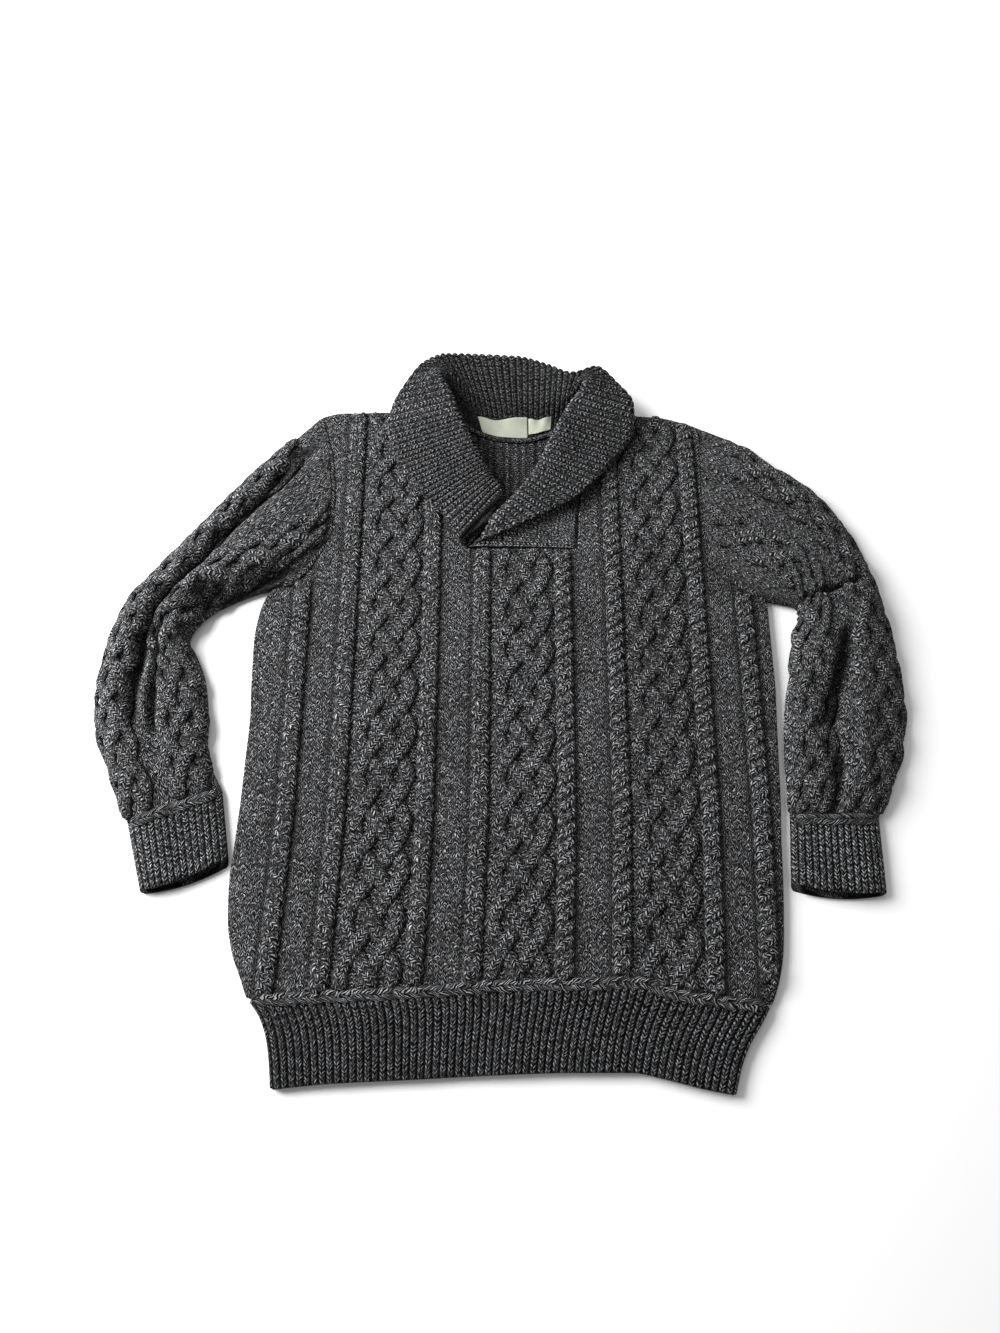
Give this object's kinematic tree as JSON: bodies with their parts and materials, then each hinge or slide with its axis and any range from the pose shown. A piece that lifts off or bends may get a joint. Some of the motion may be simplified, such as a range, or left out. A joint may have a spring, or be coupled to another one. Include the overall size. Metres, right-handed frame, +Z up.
{
  "type": "aran sweater",
  "caption": "Chunky cable-knit sweater with a ribbed shawl collar, lying front up on a flat surface with both sleeves bent down beside the body.",
  "frame": {"origin": "under the middle of the whole sweater as it lies, at the surface it rests on", "axes": "+Z up from the surface, +Y from the hem towards the collar, +X across the sweater, towards the right as seen from above with the collar at the far side"},
  "size_m": [0.818, 0.7818, 0.04],
  "materials": {
    "back": "cable knit in charcoal marl wool, matt",
    "front": "cable knit in charcoal marl wool, matt",
    "hem_front": "1x1 rib knit in charcoal marl wool, matt",
    "hem_back": "1x1 rib knit in charcoal marl wool, matt",
    "sleeve_left": "cable knit in charcoal marl wool, matt",
    "sleeve_right": "cable knit in charcoal marl wool, matt",
    "cuff_left": "1x1 rib knit in charcoal marl wool, matt",
    "cuff_right": "1x1 rib knit in charcoal marl wool, matt",
    "collar": "1x1 rib knit in charcoal marl wool, matt",
    "neck_label": "woven label cloth, matt",
    "size_tab": "woven label cloth, matt"
  },
  "bodies": {
    "root": {"back": "back", "front": "front", "hem_front": "hem_front", "hem_back": "hem_back", "sleeve_left": "sleeve_left", "sleeve_right": "sleeve_right", "cuff_left": "cuff_left", "cuff_right": "cuff_right", "collar": "collar", "neck_label": "neck_label", "size_tab": "size_tab"}
  },
  "joints": []
}
